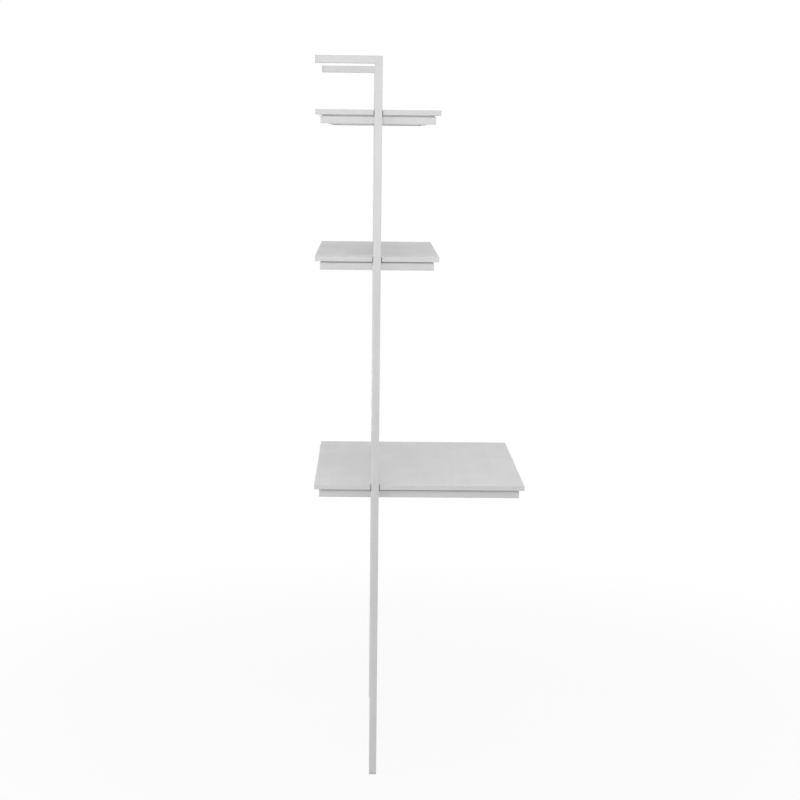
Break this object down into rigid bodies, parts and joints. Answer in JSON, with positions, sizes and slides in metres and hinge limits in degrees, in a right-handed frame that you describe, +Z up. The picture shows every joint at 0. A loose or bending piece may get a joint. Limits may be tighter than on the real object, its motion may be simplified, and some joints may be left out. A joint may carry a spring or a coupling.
{
  "type": "wall-mounted desk",
  "caption": "Slim wall-mounted desk: square-tube posts stand on the floor and turn back to the wall, carrying a deep desk top with shallower shelves above it, each on a tube frame.",
  "frame": {"origin": "on the floor, in the middle of the width and of the depth", "axes": "+Z up, +Y towards the wall, +X to the right as seen by a person who sits at the desk and faces the wall"},
  "size_m": [0.6216, 0.537, 1.84],
  "materials": {
    "steel": "white powder coat, satin",
    "lacquer": "fibreboard with white satin lacquer",
    "plastic": "moulded, matt",
    "zinc": "zinc plated"
  },
  "bodies": {
    "root": {"left_post": "steel", "right_post": "steel", "left_wall_arm": "steel", "right_wall_arm": "steel", "left_wall_bracket": "steel", "right_wall_bracket": "steel", "left_lock_screw": "zinc", "right_lock_screw": "zinc", "left_foot_plug": "plastic", "right_foot_plug": "plastic", "desk_left_rail": "steel", "desk_right_rail": "steel", "desk_front_rail": "steel", "desk_back_rail": "steel", "desk_top": "lacquer", "desk_left_strip": "plastic", "desk_right_strip": "plastic", "desk_front_strip": "plastic", "desk_back_strip": "plastic", "desk_screw_1": "zinc", "desk_screw_2": "zinc", "desk_screw_3": "zinc", "desk_screw_4": "zinc", "desk_screw_5": "zinc", "desk_screw_6": "zinc", "middle_left_rail": "steel", "middle_right_rail": "steel", "middle_front_rail": "steel", "middle_back_rail": "steel", "middle_shelf": "lacquer", "middle_left_strip": "plastic", "middle_right_strip": "plastic", "middle_front_strip": "plastic", "middle_back_strip": "plastic", "middle_screw_1": "zinc", "middle_screw_2": "zinc", "middle_screw_3": "zinc", "middle_screw_4": "zinc", "top_left_rail": "steel", "top_right_rail": "steel", "top_front_rail": "steel", "top_back_rail": "steel", "top_shelf": "lacquer", "top_left_strip": "plastic", "top_right_strip": "plastic", "top_front_strip": "plastic", "top_back_strip": "plastic", "top_screw_1": "zinc", "top_screw_2": "zinc", "top_screw_3": "zinc", "top_screw_4": "zinc"}
  },
  "joints": []
}
